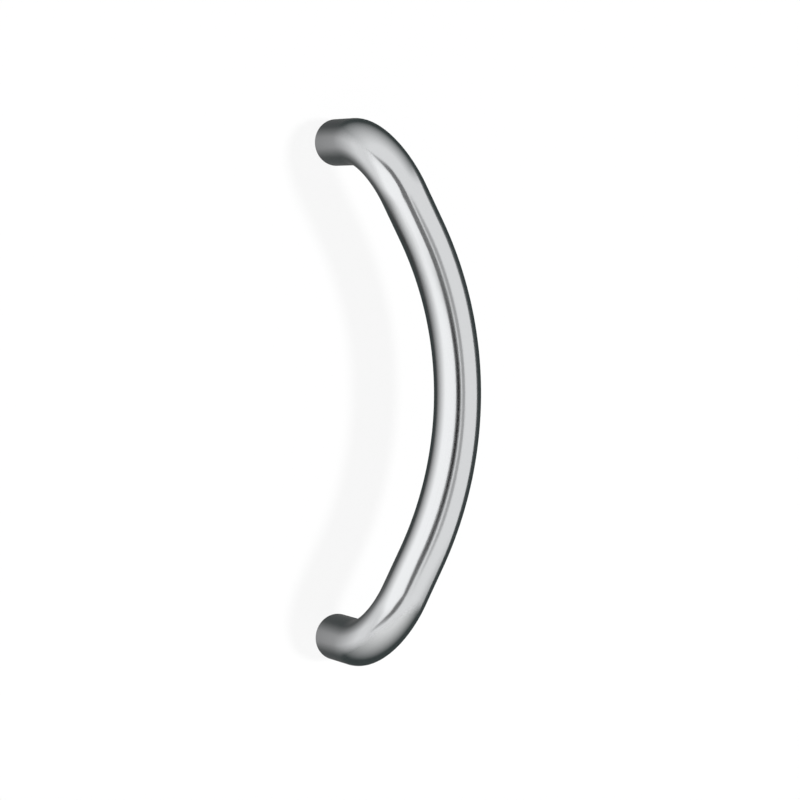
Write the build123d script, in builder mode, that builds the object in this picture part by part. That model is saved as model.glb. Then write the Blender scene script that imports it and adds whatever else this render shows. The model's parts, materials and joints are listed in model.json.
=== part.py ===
"""Crescent pull handle: one round bar, bowed sideways along the door, with both ends turned into it.

Frame: the door's face is the plane Y = 0 and the handle stands off it towards -Y. +Z runs up the door from
foot to foot, and the bow swings out to +X. The origin is midway between the two fixing holes.
"""
import os
from math import radians, tan

from build123d import *

# Bar, in millimetres and degrees; path sizes are taken along the middle of the bar
bar_diameter = 12.0
foot_spacing = 128.0
grip_standoff = 27.0
bow_radius = 90.0
flank_angle = 27.5
bend_radius = 15.0
foot_edge_break = 0.3

# Blind holes in the feet, drilled for M4 screws that come through the door from behind
tapping_diameter = 3.3
tapping_depth = 10.0
drill_point_angle = 118.0
mouth_diameter = 4.2
mouth_angle = 90.0

bar_radius = bar_diameter / 2
half_spacing = foot_spacing / 2
flank_meeting_x = half_spacing * tan(radians(flank_angle))
tapping_radius = tapping_diameter / 2
mouth_radius = mouth_diameter / 2
mouth_depth = (mouth_radius - tapping_radius) / tan(radians(mouth_angle / 2))
drill_point_length = tapping_radius / tan(radians(drill_point_angle / 2))

upper_foot = Vector(0, 0, half_spacing)
lower_foot = Vector(0, 0, -half_spacing)
standoff = Vector(0, -grip_standoff, 0)
flank_meeting = Vector(flank_meeting_x, -grip_standoff, 0)

os.makedirs("parts", exist_ok=True)

with BuildPart() as handle_bar:
    # Straight out of the door, round the bend, along the flank and the bow, and back the same way
    with BuildLine() as bar_path:
        FilletPolyline(
            upper_foot,
            upper_foot + standoff,
            flank_meeting,
            lower_foot + standoff,
            lower_foot,
            radius=[bend_radius, bow_radius, bend_radius],
        )
    with BuildSketch(Plane(origin=bar_path.line @ 0, z_dir=bar_path.line % 0)):
        Circle(bar_radius)
    sweep(path=bar_path.line)

    foot_rims = handle_bar.edges().group_by(Axis.Y)[-1]
    chamfer(foot_rims, foot_edge_break)

    # Countersunk mouth, drilled length and drill point of each hole, turned in one profile
    for foot in (upper_foot, lower_foot):
        with BuildSketch(Plane(origin=foot, x_dir=(1, 0, 0), z_dir=(0, 0, 1))):
            with BuildLine():
                Polyline(
                    (0, 0),
                    (mouth_radius, 0),
                    (tapping_radius, -mouth_depth),
                    (tapping_radius, -tapping_depth),
                    (0, -tapping_depth - drill_point_length),
                    close=True,
                )
            make_face()
        revolve(axis=Axis(foot, (0, 1, 0)), mode=Mode.SUBTRACT)

handle_bar.part.label = "handle_bar"
export_step(handle_bar.part, "parts/handle_bar.step")
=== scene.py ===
import json
from math import atan2, cos, pi, radians, sin, tan

import bmesh
import bpy
from mathutils import Matrix, Vector


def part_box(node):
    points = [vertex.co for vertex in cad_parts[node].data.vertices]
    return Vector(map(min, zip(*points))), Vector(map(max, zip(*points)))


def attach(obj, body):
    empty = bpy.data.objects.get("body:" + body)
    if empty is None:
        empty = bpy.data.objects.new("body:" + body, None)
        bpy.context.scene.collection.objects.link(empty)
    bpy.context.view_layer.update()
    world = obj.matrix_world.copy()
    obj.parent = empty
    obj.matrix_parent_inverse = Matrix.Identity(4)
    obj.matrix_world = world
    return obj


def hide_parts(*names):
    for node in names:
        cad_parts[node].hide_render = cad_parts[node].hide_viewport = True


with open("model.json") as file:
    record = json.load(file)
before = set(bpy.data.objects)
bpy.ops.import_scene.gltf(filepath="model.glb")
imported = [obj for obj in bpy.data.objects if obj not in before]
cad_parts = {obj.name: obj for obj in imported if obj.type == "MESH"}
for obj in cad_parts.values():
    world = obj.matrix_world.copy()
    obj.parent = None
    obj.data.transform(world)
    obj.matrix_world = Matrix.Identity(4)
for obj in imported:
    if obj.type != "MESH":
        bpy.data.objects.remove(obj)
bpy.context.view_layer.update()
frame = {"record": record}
scene = bpy.context.scene

MM = 0.001
WHITE = (1, 1, 1, 1)

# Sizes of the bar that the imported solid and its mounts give
lowest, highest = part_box("handle_bar")
fixing_holes = next(m for m in frame["record"]["mounts"] if m["name"] == "fixing_holes")
BAR_RADIUS = -lowest.x
STANDOFF = -lowest.y - BAR_RADIUS
HALF_SPACING = highest.z - BAR_RADIUS
TAPPING_RADIUS = fixing_holes["dims"]["hole_r_mm"] * MM

# Bends of the bar, along its middle
BOW_RADIUS = 90 * MM
FLANK_ANGLE = radians(27.5)
BEND_RADIUS = 15 * MM
BEND_ANGLE = pi / 2

# Feet and their tapped holes, with a mouth of 90 degrees and a drill point of 118
EDGE_BREAK = 0.3 * MM
MOUTH_RADIUS = 2.1 * MM
MOUTH_DEPTH = MOUTH_RADIUS - TAPPING_RADIUS
TAPPING_DEPTH = 10 * MM
DRILL_POINT_LENGTH = TAPPING_RADIUS / tan(radians(118 / 2))
THREAD_RADIUS = 2.0 * MM
THREAD_PITCH = 0.7 * MM
THREAD_LENGTH = 8 * MM

# Faces of the bar: sides round it, and rows along each run of half of it
BAR_SIDES = 96
STUB_ROWS = 6
BEND_ROWS = 32
FLANK_ROWS = 5
BOW_ROWS = 32
ROWS_PER_PITCH = 8
SHARP_ANGLE = radians(25)
MERGE = 1e-7

# Finish of the steel: grains are about 6 mm long round the bar and 0.1 mm wide along it, and clouds in the
# polish about 17 mm across
GRAINS_PER_METRE = (160, 160, 9000)
GRAIN_DETAIL = 3.0
GRAIN_ROUGHNESS = 0.6
CLOUDS_PER_METRE = 60.0
CLOUD_DETAIL = 2.0
TONE_SPREAD = 0.03
POLISH_RANGE = (0.5, 1.5)
ROUGHNESS_RANGE = (0.12, 0.20)
RELIEF_STRENGTH = 0.06
RELIEF_DEPTH = 0.01 * MM

# Camera, at the photograph's viewing angle, in degrees
CAMERA_AZIMUTH = -24.716
CAMERA_ELEVATION = 3.33
CAMERA_DISTANCE = 0.8368
CAMERA_LENS = 146.9
CAMERA_AIM = Vector((11.75 * MM, -14.0 * MM, -1.97 * MM))

# Studio: the door's face is the plane Y = 0. Bearings are measured from straight out of it towards +X, and
# turns from straight into it towards +X
FLOOR_Z = -1.02
DOME_RADIUS = 1.0
DOME_SIDES = 64
DOME_RINGS = 32
DISC_SIDES = 64
CARD_STRIPS = 40
CARD_ROWS = 90
STUDIO_CENTRE = Vector((14 * MM, -STANDOFF, 0))
FOOT_CARD_Y = -10 * MM
PANEL_MIDDLE = 14 * MM

# Distance of the cards from their centres in metres, and how bright the studio is
PANEL_RADIUS = 0.130
FRAME_RADIUS = 0.131
RIGHT_RADIUS = 0.213
NEAR_RADIUS = 0.060
PANEL_LEVEL = 1.28
PANEL_BACK_LEVEL = 0.05
FRAME_LEVEL = 0.2
STRIP_LEVEL = 0.0
RIGHT_LEVEL = 1.0
SEAM_LEVEL = 0.46
FOOT_LEVEL = 0.95
FOOT_BACK_LEVEL = 0.12
DOME_LEVEL = 0.06
DOME_TINT = (0.84, 1.03, 1.02)
FILL_LEVEL = 0.25

# Shaped sides of the cards: height in mm, and bearing
PANEL_SIDE = (
    (-92, -98), (-71, -71), (-55, -53), (-32, -43), (-20, -32.5), (-14, -28.5), (-8, -28.5), (2, -31),
    (26, -32), (42, -35), (68, -43.5), (92, -58), (104, -70), (120, -90),
)
FRAME_SIDE = (
    (-102, -66), (-87, -50), (-67, -32.5), (-55, -25.5), (-27, -16), (-16, -7.5), (-10, -5), (-4, -7),
    (4, -4), (14, -5.5), (37, -11), (66, -19.5), (94, -30), (108, -38), (130, -56),
)
FRAME_OVERLAP = 4
STRIP_LEFT = ((-32, -27.5), (-20, -22.5), (-14, -20.5), (-9, -19.3), (-4, -19.3), (5, -20), (16, -21))
STRIP_RIGHT = ((-32, -17.5), (-20, -12), (-14, -9), (-9, -7.8), (-4, -6.3), (5, -8.5), (16, -11))
FLANK_SIDE = ((-12, -24), (4, -24), (11, -25.5), (15, -26), (22, -28), (32, -29))
RIGHT_SIDE = ((-186, 95), (-86, 85), (14, 81), (114, 84), (214, 92))


def lengths(*millimetres):
    return [number * MM for number in millimetres]


def angles(*degrees):
    return [radians(number) for number in degrees]


def towards(bearing, elevation=0.0):
    """Unit vector from the door into the room, at a bearing and an elevation in degrees."""
    b = radians(bearing)
    e = radians(elevation)
    return Vector((sin(b) * cos(e), -cos(b) * cos(e), sin(e)))


def feed(material, socket, value):
    """Gives a socket a plain value, or the output of another node."""
    if isinstance(value, bpy.types.NodeSocket):
        material.node_tree.links.new(value, socket)
    else:
        socket.default_value = value


def add_node(material, kind, inputs=None, **settings):
    """Adds a node to a material or the world, and feeds its inputs, which are given by name or number."""
    node = material.node_tree.nodes.new(kind)
    for name, value in settings.items():
        setattr(node, name, value)
    for socket, value in (inputs or {}).items():
        feed(material, node.inputs[socket], value)
    return node


def maths(material, operation, *values):
    node = add_node(material, "ShaderNodeMath", dict(enumerate(values)), operation=operation)
    return node.outputs["Value"]


def vector_length(material, vector):
    node = add_node(material, "ShaderNodeVectorMath", {0: vector}, operation="LENGTH")
    return node.outputs["Value"]


def noise(material, place, scale, detail, roughness=0.5):
    inputs = {"Vector": place, "Scale": scale, "Detail": detail, "Roughness": roughness}
    return add_node(material, "ShaderNodeTexNoise", inputs).outputs["Fac"]


def ramp(material, value, places, levels, kind="LINEAR"):
    """Runs from one level to another between two places of a value, and stays level beyond them."""
    inputs = {
        "Value": value,
        "From Min": places[0],
        "From Max": places[1],
        "To Min": levels[0],
        "To Max": levels[1],
    }
    return add_node(material, "ShaderNodeMapRange", inputs, interpolation_type=kind).outputs["Result"]


def new_material(name):
    material = bpy.data.materials.new(name)
    material.use_nodes = True
    return material


def one_shader_material(name, kind, inputs):
    """Material with one plain shader."""
    material = new_material(name)
    nodes = material.node_tree.nodes
    nodes.remove(nodes["Principled BSDF"])
    shader = add_node(material, kind, inputs)
    feed(material, nodes["Material Output"].inputs["Surface"], shader.outputs[0])
    return material


def partly_clear(material, cover):
    """Makes a surface clear, but for a share of it that keeps its shader."""
    surface = material.node_tree.nodes["Material Output"].inputs["Surface"]
    clear = add_node(material, "ShaderNodeBsdfTransparent")
    shares = {"Fac": cover, 1: clear.outputs["BSDF"], 2: surface.links[0].from_socket}
    mix = add_node(material, "ShaderNodeMixShader", shares)
    feed(material, surface, mix.outputs["Shader"])


def add_object(name, bm, material):
    mesh = bpy.data.meshes.new(name)
    bm.to_mesh(mesh)
    bm.free()
    mesh.materials.append(material)
    piece = bpy.data.objects.new(name, mesh)
    scene.collection.objects.link(piece)
    return piece


def satin_steel(colour):
    """Stainless steel ground round the bar: fine rings of grain that follow it, and a cloudy polish."""
    material = new_material("satin_steel")
    shader = material.node_tree.nodes["Principled BSDF"]

    # Place on the bar before it was bent: the rings run on from its side over the foot faces
    place = add_node(material, "ShaderNodeAttribute", attribute_name="straight_bar").outputs["Vector"]
    x, y, z = add_node(material, "ShaderNodeSeparateXYZ", {"Vector": place}).outputs
    across = add_node(material, "ShaderNodeCombineXYZ", {"X": x, "Y": y})
    radius = vector_length(material, across.outputs["Vector"])
    along = maths(material, "ADD", z, radius)
    rings = add_node(material, "ShaderNodeCombineXYZ", {"X": x, "Y": y, "Z": along}).outputs["Vector"]

    stretch = add_node(material, "ShaderNodeMapping", {"Vector": rings, "Scale": GRAINS_PER_METRE})
    grain = noise(material, stretch.outputs["Vector"], 1.0, GRAIN_DETAIL, GRAIN_ROUGHNESS)
    cloud = noise(material, place, CLOUDS_PER_METRE, CLOUD_DETAIL)

    dark = [part * (1 - TONE_SPREAD) for part in colour]
    pale = [part * (1 + TONE_SPREAD) for part in colour]
    tones = {"Factor": grain, "A": (*dark, 1), "B": (*pale, 1)}
    tone = add_node(material, "ShaderNodeMix", tones, data_type="RGBA")
    polish = maths(material, "ADD", grain, cloud)
    depths = {"Height": grain, "Strength": RELIEF_STRENGTH, "Distance": RELIEF_DEPTH}
    relief = add_node(material, "ShaderNodeBump", depths)

    feed(material, shader.inputs["Metallic"], 1.0)
    feed(material, shader.inputs["Base Color"], tone.outputs["Result"])
    feed(material, shader.inputs["Roughness"], ramp(material, polish, POLISH_RANGE, ROUGHNESS_RANGE))
    feed(material, shader.inputs["Normal"], relief.outputs["Normal"])
    return material


def foot_with_hole(bm, straight):
    """Turns the upper foot from one profile, from the drill point over the foot face to the bar's side."""
    profile = [
        (0, -TAPPING_DEPTH - DRILL_POINT_LENGTH),
        (TAPPING_RADIUS, -TAPPING_DEPTH),
        (TAPPING_RADIUS, -THREAD_LENGTH),
        (TAPPING_RADIUS, -MOUTH_DEPTH),
        (MOUTH_RADIUS, 0),
        (BAR_RADIUS - EDGE_BREAK, 0),
        (BAR_RADIUS, -EDGE_BREAK),
    ]
    points = [bm.verts.new((r, y, HALF_SPACING)) for r, y in profile]
    edges = [bm.edges.new(pair) for pair in zip(points, points[1:])]
    threaded = edges[2]
    thread_rows = round((THREAD_LENGTH - MOUTH_DEPTH) / THREAD_PITCH * ROWS_PER_PITCH)
    bmesh.ops.subdivide_edges(bm, edges=[threaded], cuts=thread_rows - 1)
    bmesh.ops.spin(
        bm,
        geom=bm.verts[:] + bm.edges[:],
        cent=(0, 0, HALF_SPACING),
        axis=(0, 1, 0),
        angle=2 * pi,
        steps=BAR_SIDES,
        use_merge=True,
    )
    bmesh.ops.remove_doubles(bm, verts=bm.verts[:], dist=MERGE)
    for v in bm.verts:
        v[straight] = Vector((v.co.x, v.co.z - HALF_SPACING, -v.co.y))
    return [e for e in bm.edges if e.is_boundary]


def turn_about(centre, axis, angle):
    return Matrix.Translation(centre) @ Matrix.Rotation(angle, 4, axis) @ Matrix.Translation(-centre)


def run_on(bm, straight, rim, rows, row_length, step):
    """Extrudes the open rim row by row, each moved by step, and notes how far along the bar it has come."""
    for _ in range(rows):
        made = bmesh.ops.extrude_edge_only(bm, edges=rim)["geom"]
        verts = [g for g in made if isinstance(g, bmesh.types.BMVert)]
        rim = [g for g in made if isinstance(g, bmesh.types.BMEdge) and g.is_boundary]
        bmesh.ops.transform(bm, matrix=step, verts=verts)
        for v in verts:
            v[straight].z += row_length
    return rim


def half_bar(bm, straight):
    """Upper half of the bar: out of the door, round the bend, down flank and bow. Returns its length."""
    rim = foot_with_hole(bm, straight)
    out = Vector((0, -1, 0))
    down_flank = Vector((sin(FLANK_ANGLE), 0, -cos(FLANK_ANGLE)))
    corner = Vector((0, -STANDOFF, HALF_SPACING))
    bow_centre = Vector((HALF_SPACING * tan(FLANK_ANGLE) - BOW_RADIUS / cos(FLANK_ANGLE), -STANDOFF, 0))
    flank_end = bow_centre + BOW_RADIUS * Vector((cos(FLANK_ANGLE), 0, sin(FLANK_ANGLE)))

    stub = STANDOFF - BEND_RADIUS - EDGE_BREAK
    bend_centre = corner + BEND_RADIUS * (down_flank - out)
    flank = (flank_end - corner).length - BEND_RADIUS
    bend_step = turn_about(bend_centre, out.cross(down_flank), BEND_ANGLE / BEND_ROWS)
    bow_step = turn_about(bow_centre, Vector((0, 1, 0)), FLANK_ANGLE / BOW_ROWS)
    runs = [
        (STUB_ROWS, stub, Matrix.Translation(out * stub / STUB_ROWS)),
        (BEND_ROWS, BEND_RADIUS * BEND_ANGLE, bend_step),
        (FLANK_ROWS, flank, Matrix.Translation(down_flank * flank / FLANK_ROWS)),
        (BOW_ROWS, BOW_RADIUS * FLANK_ANGLE, bow_step),
    ]
    for rows, length, step in runs:
        rim = run_on(bm, straight, rim, rows, length / rows, step)
    return EDGE_BREAK + sum(length for _, length, _ in runs)


def cut_threads(bm):
    """Presses a right-hand thread into the wall of both holes, running out to nothing at its two ends."""
    for v in bm.verts:
        foot_z = HALF_SPACING if v.co.z > 0 else -HALF_SPACING
        radial = Vector((v.co.x, 0, v.co.z - foot_z))
        depth = -v.co.y
        on_wall = abs(radial.length - TAPPING_RADIUS) < MERGE
        if not on_wall or not MOUTH_DEPTH < depth < THREAD_LENGTH:
            continue
        turn = atan2(radial.x, radial.z) / (2 * pi)
        phase = (v.co.y / THREAD_PITCH - turn) % 1
        groove = 1 - abs(2 * phase - 1)
        runout = min(1, (depth - MOUTH_DEPTH) / THREAD_PITCH, (THREAD_LENGTH - depth) / THREAD_PITCH)
        v.co += radial.normalized() * groove * runout * (THREAD_RADIUS - TAPPING_RADIUS)


def bent_bar():
    """The whole handle: half a bar, mirrored at the crown of the bow, with threads cut in both feet."""
    bm = bmesh.new()
    straight = bm.verts.layers.float_vector.new("straight_bar")
    half_length = half_bar(bm, straight)
    bmesh.ops.mirror(bm, geom=bm.verts[:] + bm.edges[:] + bm.faces[:], merge_dist=MERGE, axis="Z")
    bmesh.ops.remove_doubles(bm, verts=bm.verts[:], dist=MERGE)
    for v in bm.verts:
        if v.co.z < -MERGE:
            v[straight].z = 2 * half_length - v[straight].z
    cut_threads(bm)
    bmesh.ops.recalc_face_normals(bm, faces=bm.faces[:])
    for face in bm.faces:
        face.smooth = True
    for edge in bm.edges:
        edge.smooth = edge.calc_face_angle(0) < SHARP_ANGLE

    slot = frame["record"]["materials"][0]
    piece = add_object("bent_bar", bm, satin_steel(slot["base_color"]))
    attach(piece, "root")
    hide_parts("handle_bar")


def glow(name, level=1.0, tint=(1, 1, 1)):
    """Even soft light from a studio card."""
    return one_shader_material(name, "ShaderNodeEmission", {"Color": (*tint, 1), "Strength": level})


def set_level(material, level):
    """Gives a card a level of light that changes from place to place."""
    feed(material, material.node_tree.nodes["Emission"].inputs["Strength"], level)


def set_card(bm, material):
    """A card that only the steel reflects: it isn't in the picture, and doesn't light or shade the door."""
    card = add_object(material.name, bm, material)
    card.visible_camera = False
    card.visible_diffuse = False
    card.visible_shadow = False


def card_side(height, points):
    """Bearing of a card's side at a height in mm, on straight runs between points of height and bearing."""
    for (low, first), (high, last) in zip(points, points[1:]):
        if height < high:
            return first + (last - first) * (height - low) / (high - low)
    return points[-1][1]


def upright(bottom, top, bearing):
    """Straight upright side of a card."""
    return (bottom, bearing), (top, bearing)


def curved_card(material, centre, radius, left, right):
    """A card bent about an upright axis. Its left side's end points give its height."""
    bottom = left[0][0]
    top = left[-1][0]
    bm = bmesh.new()
    bmesh.ops.create_grid(bm, x_segments=CARD_STRIPS, y_segments=CARD_ROWS, size=0.5)
    for v in bm.verts:
        height = bottom + (top - bottom) * (v.co.y + 0.5)
        first = card_side(height, left)
        last = card_side(height, right)
        bearing = first + (last - first) * (v.co.x + 0.5)
        v.co = centre + towards(bearing) * radius + Vector((0, 0, height * MM))
    set_card(bm, material)


def offset_from(material, centre):
    """X, Y and Z of a point on a card, from the card's centre."""
    place = add_node(material, "ShaderNodeTexCoord")
    ends = {0: place.outputs["Object"], 1: centre}
    offset = add_node(material, "ShaderNodeVectorMath", ends, operation="SUBTRACT")
    return add_node(material, "ShaderNodeSeparateXYZ", {"Vector": offset.outputs["Vector"]}).outputs


def turn_round(material, centre):
    x, y, _ = offset_from(material, centre)
    return maths(material, "ARCTAN2", x, y)


def height_above(material, centre):
    return offset_from(material, centre)["Z"]


def soft_ends(material, centre, middle, whole, gone):
    """Cover of a card: whole up to one distance in mm above and below its middle, and gone at another."""
    height = height_above(material, centre)
    reach = maths(material, "ABSOLUTE", maths(material, "SUBTRACT", height, middle))
    return ramp(material, reach, lengths(whole, gone), (1, 0))


def left_panel():
    """Bright panel on the handle's left. Its light fades round towards the back, sooner at its lower end."""
    material = glow("left_panel")
    height = height_above(material, STUDIO_CENTRE)
    slant = ramp(material, height, lengths(-9, -38), angles(0, 17))
    shade = maths(material, "ADD", turn_round(material, STUDIO_CENTRE), slant)
    set_level(material, ramp(material, shade, angles(-93.5, -31), (PANEL_LEVEL, PANEL_BACK_LEVEL)))
    partly_clear(material, soft_ends(material, STUDIO_CENTRE, PANEL_MIDDLE, whole=50, gone=105))
    left = upright(bottom=-92, top=120, bearing=-150)
    curved_card(material, STUDIO_CENTRE, PANEL_RADIUS, left, PANEL_SIDE)


def left_frame():
    """Dark edge of the left panel, which the bar shows as a thin dark line."""
    material = glow("left_frame", FRAME_LEVEL)
    partly_clear(material, soft_ends(material, STUDIO_CENTRE, PANEL_MIDDLE, whole=85, gone=115))
    behind_panel = [(height, bearing - FRAME_OVERLAP) for height, bearing in PANEL_SIDE]
    curved_card(material, STUDIO_CENTRE, FRAME_RADIUS, behind_panel, FRAME_SIDE)


def dark_strip():
    """Narrow dark strip with soft ends before the panel's edge, which darkens that line on the bow."""
    material = glow("dark_strip", STRIP_LEVEL)
    partly_clear(material, soft_ends(material, STUDIO_CENTRE, -8 * MM, whole=7, gone=24))
    curved_card(material, STUDIO_CENTRE, NEAR_RADIUS, STRIP_LEFT, STRIP_RIGHT)


def flank_card():
    """Small card before the left panel, as bright as it is, which widens its light on the upper flank."""
    material = glow("flank_card", PANEL_LEVEL)
    sloping_middle = ramp(material, turn_round(material, STUDIO_CENTRE), angles(-153, -123), lengths(18, 2))
    partly_clear(material, soft_ends(material, STUDIO_CENTRE, sloping_middle, whole=6, gone=13))
    left = upright(bottom=-12, top=32, bearing=-58)
    curved_card(material, STUDIO_CENTRE, NEAR_RADIUS, left, FLANK_SIDE)


def right_panel():
    """Bright panel on the right of the handle, with soft ends."""
    material = glow("right_panel", RIGHT_LEVEL)
    partly_clear(material, soft_ends(material, STUDIO_CENTRE, PANEL_MIDDLE, whole=115, gone=200))
    left = upright(bottom=-186, top=214, bearing=16)
    curved_card(material, STUDIO_CENTRE, RIGHT_RADIUS, left, RIGHT_SIDE)


def panel_seam():
    """Grey strip between the two panels, which the bow shows as a thin grey line beside the dark one."""
    left = upright(bottom=-36, top=31, bearing=0)
    right = upright(bottom=-36, top=31, bearing=14.3)
    curved_card(glow("panel_seam", SEAM_LEVEL), STUDIO_CENTRE, PANEL_RADIUS, left, right)


def foot_card(name, foot_z):
    """Small card round the left and back of a foot. Its light fades to the back, which rounds the foot."""
    centre = Vector((0, FOOT_CARD_Y, foot_z))
    material = glow(name)
    turn = turn_round(material, centre)
    set_level(material, ramp(material, turn, angles(-74, -8), (FOOT_LEVEL, FOOT_BACK_LEVEL)))
    front_edge = ramp(material, turn, angles(-120, -96), (0, 1))
    ends = soft_ends(material, centre, 0, whole=12, gone=46)
    partly_clear(material, maths(material, "MULTIPLY", front_edge, ends))
    back = upright(bottom=-48, top=48, bearing=-205)
    front = upright(bottom=-48, top=48, bearing=-60)
    curved_card(material, centre, NEAR_RADIUS, back, front)


def dark_dome():
    """Round tent about the handle: clear in front on the left, and darker to the back on the right."""
    clear_way = towards(-29, 10)
    dark_from = -0.53
    clear_from = 0.59
    material = glow("dark_dome", DOME_LEVEL, DOME_TINT)
    place = add_node(material, "ShaderNodeTexCoord")
    ways = {0: place.outputs["Object"], 1: clear_way / DOME_RADIUS}
    along = add_node(material, "ShaderNodeVectorMath", ways, operation="DOT_PRODUCT")
    partly_clear(material, ramp(material, along.outputs["Value"], (dark_from, clear_from), (1, 0)))
    bm = bmesh.new()
    bmesh.ops.create_uvsphere(bm, u_segments=DOME_SIDES, v_segments=DOME_RINGS, radius=DOME_RADIUS)
    set_card(bm, material)


def disc(radius):
    bm = bmesh.new()
    bmesh.ops.create_circle(bm, cap_ends=True, segments=DISC_SIDES, radius=radius)
    return bm


def fade_out(material, full_radius, clear_radius, share):
    """Share of a disc's surface that shows, which fades to nothing at its rim."""
    place = add_node(material, "ShaderNodeTexCoord")
    reach = vector_length(material, place.outputs["Object"])
    return ramp(material, reach, (full_radius, clear_radius), (share, 0.0), "SMOOTHSTEP")


def door_sheet():
    """A clear sheet at the door's face. Its front has a trace of white, which takes the handle's shadow."""
    share = 0.1
    clear_radius = 0.26
    full_radius = 0.17
    gap = 0.2 * MM
    material = one_shader_material("door_sheet", "ShaderNodeBsdfDiffuse", {"Color": (0.8, 0.8, 0.8, 1)})
    fade = fade_out(material, full_radius, clear_radius, share)
    back = add_node(material, "ShaderNodeNewGeometry").outputs["Backfacing"]
    partly_clear(material, maths(material, "MULTIPLY", fade, maths(material, "SUBTRACT", 1.0, back)))

    bm = disc(clear_radius)
    place = Matrix.Translation((0, gap, 0)) @ Matrix.Rotation(pi / 2, 4, "X")
    bmesh.ops.transform(bm, matrix=place, verts=bm.verts[:])
    sheet = add_object("door_sheet", bm, material)
    sheet.visible_glossy = False
    sheet.visible_shadow = False


def pale_floor():
    """Pale floor below the door handle, which fades out into the white surroundings."""
    full_radius = 1.5
    clear_radius = 3.0
    material = new_material("pale_floor")
    shader = material.node_tree.nodes["Principled BSDF"]
    looks = {
        "Base Color": (0.8, 0.8, 0.79, 1),
        "Roughness": 0.7,
        "Emission Color": (1, 1, 0.99, 1),
        "Emission Strength": 0.7,
        "Alpha": fade_out(material, full_radius, clear_radius, 1.0),
    }
    for name, value in looks.items():
        feed(material, shader.inputs[name], value)
    bm = disc(clear_radius)
    bmesh.ops.translate(bm, vec=(0, 0, FLOOR_Z), verts=bm.verts[:])
    add_object("pale_floor", bm, material)


def studio_world():
    """White surroundings to the camera and in reflections, and a low even fill on matt surfaces."""
    world = bpy.data.worlds.new("studio")
    world.use_nodes = True
    scene.world = world
    nodes = world.node_tree.nodes
    white = nodes["Background"]
    feed(world, white.inputs["Color"], WHITE)
    fill = add_node(world, "ShaderNodeBackground", {"Color": WHITE, "Strength": FILL_LEVEL})
    rays = add_node(world, "ShaderNodeLightPath").outputs
    seen = maths(world, "MAXIMUM", rays["Is Camera Ray"], rays["Is Glossy Ray"])
    seen = maths(world, "MAXIMUM", seen, rays["Is Transmission Ray"])
    shares = {"Fac": seen, 1: fill.outputs["Background"], 2: white.outputs["Background"]}
    mix = add_node(world, "ShaderNodeMixShader", shares)
    feed(world, nodes["World Output"].inputs["Surface"], mix.outputs["Shader"])


def key_lamp():
    """Soft lamp from the right, which throws the handle's shadow on the door. The steel doesn't show it."""
    bearing = 22
    light = bpy.data.lights.new("key_lamp", "SUN")
    light.energy = 3.1
    light.angle = radians(8)
    lamp = bpy.data.objects.new("key_lamp", light)
    lamp.rotation_euler = towards(bearing).to_track_quat("Z", "Y").to_euler()
    lamp.visible_glossy = False
    scene.collection.objects.link(lamp)


def studio():
    studio_world()
    pale_floor()
    door_sheet()
    dark_dome()
    left_panel()
    left_frame()
    dark_strip()
    flank_card()
    right_panel()
    panel_seam()
    foot_card("upper_foot_card", HALF_SPACING)
    foot_card("lower_foot_card", -HALF_SPACING)
    key_lamp()


def camera():
    data = bpy.data.cameras.new("camera")
    data.lens = CAMERA_LENS
    view = bpy.data.objects.new("camera", data)
    back = towards(CAMERA_AZIMUTH, CAMERA_ELEVATION)
    view.location = CAMERA_AIM + back * CAMERA_DISTANCE
    view.rotation_euler = back.to_track_quat("Z", "Y").to_euler()
    scene.collection.objects.link(view)
    scene.camera = view


bent_bar()
studio()
camera()
scene.view_settings.view_transform = "Standard"
